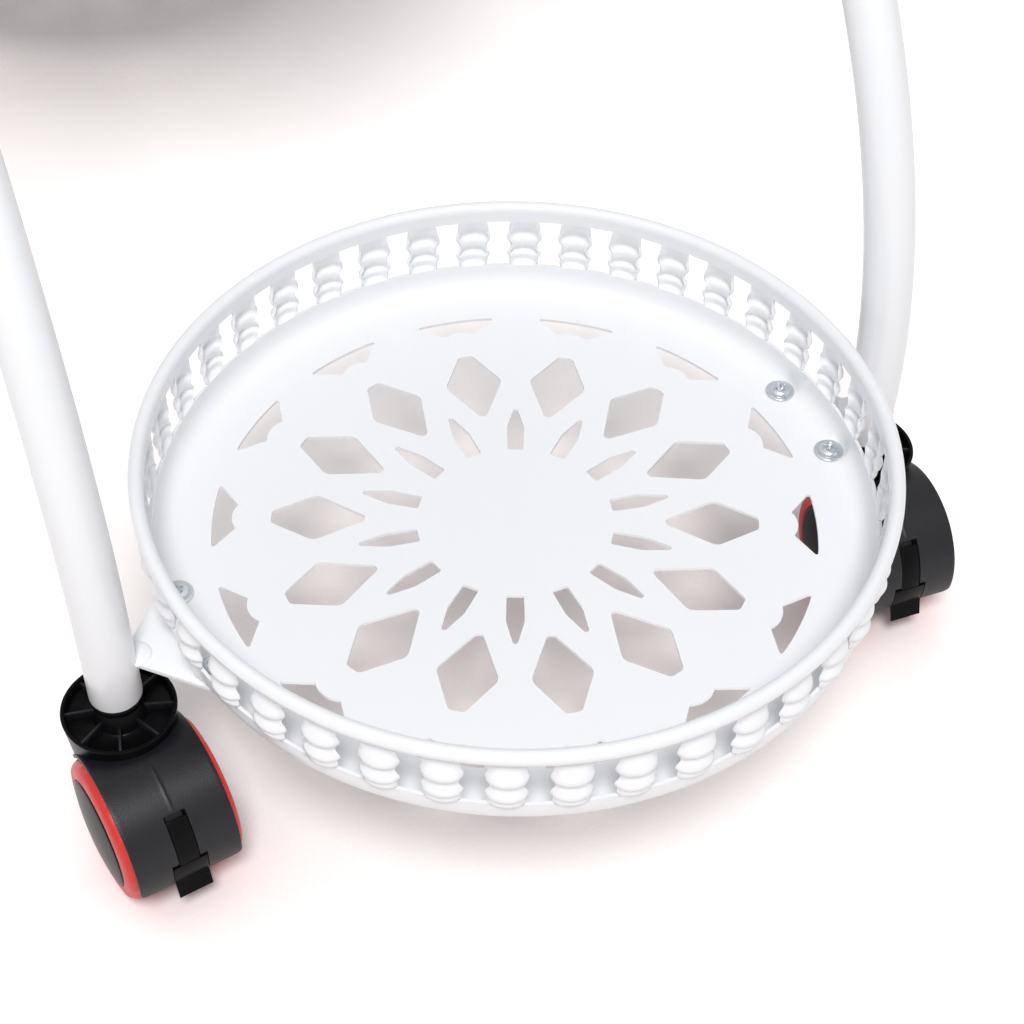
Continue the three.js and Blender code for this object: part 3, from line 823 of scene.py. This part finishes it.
def pedal_mesh():
    """Planks for the tongue in its slot, the tread, the ridged foot tab, the fin and its pin."""
    top = around_axle(HOOD_RADIUS - TAB_SUNK, HOOD_ENDS[0] + 1)
    under = around_axle(PEDAL_INNER, HOOD_ENDS[0] + 1)
    foot = top[0] - TAB_FLARE, top[1] - TAB_DROP
    tab = [under, top]
    for ridge in range(TAB_RIDGES):
        for share, raised in RIDGE_SHAPE:
            along = (ridge + share) / TAB_RIDGES
            y = top[0] + (foot[0] - top[0]) * along - RIDGE_HEIGHT * raised
            tab.append((y, top[1] + (foot[1] - top[1]) * along))
    tab += [foot, (under[0] - TAB_FLARE - 0.4, foot[1])]
    tongue = ring_sector(PEDAL_INNER, HOOD_RADIUS - TONGUE_SUNK, PLATE_TREAD[1] - 2, TONGUE[1])
    tread = ring_sector(PEDAL_INNER, HOOD_RADIUS - TREAD_SUNK, HOOD_ENDS[0], PLATE_TREAD[1])
    fin = ring_sector(FIN_INNER, HOOD_RADIUS - FIN_SUNK, HOOD_ENDS[0] + 2, 5)
    y, z = around_axle(*PIVOT)
    turns = np.linspace(0, 6.1, 20)
    pin = [(y + PIN_RADIUS * math.cos(turn), z + PIN_RADIUS * math.sin(turn)) for turn in turns]
    pieces = [
        plank("tongue", tongue, -TONGUE[0], TONGUE[0]),
        plank("fin", fin, -FIN_HALF, FIN_HALF),
        plank("tread", tread, -PLATE_TREAD[0], PLATE_TREAD[0]),
        plank("tab", tab, -PLATE_TREAD[0], PLATE_TREAD[0]),
        plank("pin", pin, -PIN_HALF, PIN_HALF),
    ]
    return joined("pedal", *pieces)


PEDAL = settled("pedal", pedal_mesh(), SMOOTH, sharp_degrees=30, BEVEL={**EDGE, "width": PEDAL_EDGE * MM})
for corner, at in castor_places.items():
    name = f"castor_{corner}"
    place(f"{name}_pedal", PEDAL, at, f"{corner}_brake", [f"{name}_brake_pedal"])

# ---- castor wheels -----------------------------------------------------------------------------
# Each wheel has a red tyre with small lumps on its shoulder. It is moulded on a black hub with an
# inner rim and a low domed cap.
TYRE_PROFILE = (
    (20.8, 8.3),
    (26.8, 8.3),
    (27.15, 8.7),
    (27.15, 11.0),
    (27.15, 15.0),
    (27.1, 16.2),
    (27.05, 17.6),
    (26.95, 18.8),
    (26.6, 20.2),
    (26.0, 21.2),
    (25.2, 21.8),
    (23.6, 22.2),
    (21.4, 22.5),
    (20.95, 22.4),
    (20.8, 22.0),
)
TYRE_SIDES = 336
LUMPS = 28
LUMP_HEIGHT = 0.35
LUMP_PLACE = 18.2
LUMP_SPREAD = 1.9
LUMP_ROUNDING = 0.7
HUB_PROFILE = (
    (3.2, 3.6),
    (26.8, 3.6),
    (27.1, 3.9),
    (27.1, 8.0),
    (26.9, 8.2),
    (20.7, 8.2),
    (20.7, 22.2),
    (20.4, 22.7),
    (19.8, 22.9),
    (18.0, 23.2),
    (13.0, 23.9),
    (8.0, 24.4),
    (3.0, 24.65),
    (0.1, 24.7),
)
HUB_SIDES = 128
RED_COLOUR = (0.6, 0.022, 0.017)
RED_ROUGHNESS = (0.36, 0.5)
FACING = {"left": -math.pi / 2, "right": math.pi / 2}


def red_rubber():
    material, tree, shader = new_material("red tyre")
    shader.inputs["Base Color"].default_value = (*RED_COLOUR, 1)
    ripple = place_group(tree, RIPPLE, Fine_Size=700.0, Patch_Size=90.0)
    link(tree, spread(tree, ripple.outputs["Patches"], *RED_ROUGHNESS), shader.inputs["Roughness"])
    bump(tree, shader, ripple.outputs["Height"], 0.12, 0.1 * MM)
    return material


def tyre_mesh():
    """Rings round the tyre's section. The lumps swell out where it meets the shoulder."""
    around = np.linspace(0, 2 * math.pi, TYRE_SIDES, endpoint=False)
    lump = LUMP_HEIGHT * np.clip(np.sin(LUMPS * around), 0, 1) ** LUMP_ROUNDING
    rings = []
    for radius, height in TYRE_PROFILE:
        out = radius + math.exp(-(((height - LUMP_PLACE) / LUMP_SPREAD) ** 2)) * lump
        flat = np.full(TYRE_SIDES, height)
        rings.append(np.stack([out * np.cos(around), out * np.sin(around), flat], 1))
    return skinned("tyre", np.array(rings) * MM, capped=False)


TYRE = settled("tyre", tyre_mesh(), red_rubber(), sharp_degrees=60)
HUB = settled("hub", turned("hub", HUB_PROFILE, HUB_SIDES), SMOOTH, sharp_degrees=50)
for corner, middle in axle_places.items():
    name = f"castor_{corner}"
    for side, facing in FACING.items():
        wheel, body = middle @ Matrix.Rotation(facing, 4, "Y"), f"{corner}_wheel_{side}"
        place(f"{name}_domed_hub_{side}", HUB, wheel, body, [f"{name}_hub_{side}"])
        place(f"{name}_red_tyre_{side}", TYRE, wheel, body, [f"{name}_tyre_{side}"])

# ---- castor fittings ---------------------------------------------------------------------------
# A smooth black socket closes each tube end above the cup. The plated stem stands in it, and a
# plated axle runs through the web into both hubs.
SOCKET_PROFILE = (
    (4.5, 66.35),
    (8.9, 66.35),
    (9.15, 66.6),
    (9.15, 69.4),
    (8.9, 69.65),
    (8.0, 69.7),
    (8.0, 93.0),
    (7.4, 93.6),
    (4.5, 93.6),
)
STEM_PROFILE = ((3.5, 50.2), (4.0, 50.7), (4.0, 90.4), (3.5, 90.9))
AXLE_PROFILE = ((2.7, -18.9), (3.0, -18.6), (3.0, 18.6), (2.7, 18.9))

SOCKET = settled("socket", turned("socket", SOCKET_PROFILE, 64), SMOOTH, sharp_degrees=50)
STEM = settled("stem", turned("stem", STEM_PROFILE, 32), ZINC, sharp_degrees=50)
ROD = settled("axle", turned("axle", AXLE_PROFILE, 32), ZINC, sharp_degrees=50)
for corner, at in castor_places.items():
    upright = Matrix.Translation(at.translation)
    lying = axle_places[corner] @ Matrix.Rotation(FACING["right"], 4, "Y")
    name = f"castor_{corner}"
    place(f"{name}_tube_socket", SOCKET, upright, "frame", [f"{name}_socket"])
    place(f"{name}_steel_stem", STEM, upright, "frame", [f"{name}_stem"])
    place(f"{name}_steel_axle", ROD, lying, f"{corner}_castor", [f"{name}_axle"])

# ---- floor and light ---------------------------------------------------------------------------
# A seamless white studio floor under an even white sky and one broad lamp above the camera. It keeps
# the stand's soft shadow from the lamp. Under the stand its glow for the camera is dimmed by a painted
# shade, taken from ambient occlusion.
FLOOR_HALF = 6.0
FLOOR_COLOUR = (0.85, 0.785, 0.77)
GLOW_COLOUR = (0.61, 0.605, 0.605)
# painted shade on the floor: how far its ambient occlusion looks, how sharply it dims the glow, and its
# samples
PAINTED_SHADE_REACH = 0.3
PAINTED_SHADE_FADE = 2.4
PAINTED_SHADE_SAMPLES = 8
SKY_COLOUR = (0.96, 0.98, 1.0)
SKY_LIGHT = 0.38
LAMP_PLACE = (-0.58, -1.47, 2.42)
LAMP_TARGET = (0.0, -0.31, 0.17)
LAMP_WIDTH = 0.8
LAMP_WATTS = 56.0


def seen_rays(tree):
    """1 for what the camera sees, straight or in a reflection, and 0 for what lights the stand."""
    rays = tree.nodes.new("ShaderNodeLightPath")
    seen = rays.outputs["Is Camera Ray"]
    for kind in ("Is Glossy Ray", "Is Transmission Ray"):
        either = tree.nodes.new("ShaderNodeMath")
        either.operation = "MAXIMUM"
        link(tree, seen, either.inputs[0])
        link(tree, rays.outputs[kind], either.inputs[1])
        seen = either.outputs["Value"]
    return seen


def floor_with_painted_shade():
    """White paper that glows for the camera, dimmed by a painted shade from ambient occlusion."""
    material, tree, shader = new_material("floor with painted shade")
    output = tree.nodes["Material Output"]
    diffuse = tree.nodes.new("ShaderNodeBsdfDiffuse")
    diffuse.inputs["Color"].default_value = (*FLOOR_COLOUR, 1)
    glow = tree.nodes.new("ShaderNodeEmission")
    glow.inputs["Color"].default_value = (*GLOW_COLOUR, 1)
    # painted shade: ambient occlusion, raised to a power, dims the floor's glow under the stand
    painted_shade_occlusion = tree.nodes.new("ShaderNodeAmbientOcclusion")
    painted_shade_occlusion.samples = PAINTED_SHADE_SAMPLES
    painted_shade_occlusion.inputs["Distance"].default_value = PAINTED_SHADE_REACH
    painted_shade_share = tree.nodes.new("ShaderNodeMath")
    painted_shade_share.operation = "POWER"
    painted_shade_share.inputs[1].default_value = PAINTED_SHADE_FADE
    link(tree, painted_shade_occlusion.outputs["AO"], painted_shade_share.inputs[0])
    strength = tree.nodes.new("ShaderNodeMath")
    strength.operation = "MULTIPLY"
    link(tree, painted_shade_share.outputs["Value"], strength.inputs[1])
    both = tree.nodes.new("ShaderNodeAddShader")
    link(tree, seen_rays(tree), strength.inputs[0])
    link(tree, strength.outputs["Value"], glow.inputs["Strength"])
    link(tree, diffuse.outputs["BSDF"], both.inputs[0])
    link(tree, glow.outputs["Emission"], both.inputs[1])
    link(tree, both.outputs["Shader"], output.inputs["Surface"])
    tree.nodes.remove(shader)
    return material


floor_mesh = bpy.data.meshes.new("floor with painted shade")
floor_corners = [(x * FLOOR_HALF, y * FLOOR_HALF, 0) for x, y in ((-1, -1), (1, -1), (1, 1), (-1, 1))]
floor_mesh.from_pydata(floor_corners, [], [(0, 1, 2, 3)])
floor_mesh.materials.append(floor_with_painted_shade())
studio = bpy.data.objects.new("floor_with_painted_shade", floor_mesh)
bpy.context.scene.collection.objects.link(studio)

world = bpy.data.worlds.new("studio")
world.use_nodes = True
bpy.context.scene.world = world
sky = world.node_tree
sky_light = sky.nodes["Background"]
sky_light.inputs["Color"].default_value = (*SKY_COLOUR, 1)
sky_light.inputs["Strength"].default_value = SKY_LIGHT
sky_seen = sky.nodes.new("ShaderNodeBackground")
sky_seen.inputs["Color"].default_value = (1, 1, 1, 1)
sky_mix = sky.nodes.new("ShaderNodeMixShader")
link(sky, seen_rays(sky), sky_mix.inputs[0])
link(sky, sky_light.outputs["Background"], sky_mix.inputs[1])
link(sky, sky_seen.outputs["Background"], sky_mix.inputs[2])
link(sky, sky_mix.outputs["Shader"], sky.nodes["World Output"].inputs["Surface"])

lamp_data = bpy.data.lights.new("broad lamp", "AREA")
lamp_data.shape = "DISK"
lamp_data.size = LAMP_WIDTH
lamp_data.energy = LAMP_WATTS
lamp = bpy.data.objects.new("broad_lamp", lamp_data)
aim = (Vector(LAMP_TARGET) - Vector(LAMP_PLACE)).to_track_quat("-Z", "Y")
lamp.matrix_world = Matrix.LocRotScale(Vector(LAMP_PLACE), aim, None)
bpy.context.scene.collection.objects.link(lamp)

bpy.context.scene.view_settings.view_transform = "Standard"

# ---- update ------------------------------------------------------------------------------------
# The view layer is brought up to date.
bpy.context.view_layer.update()
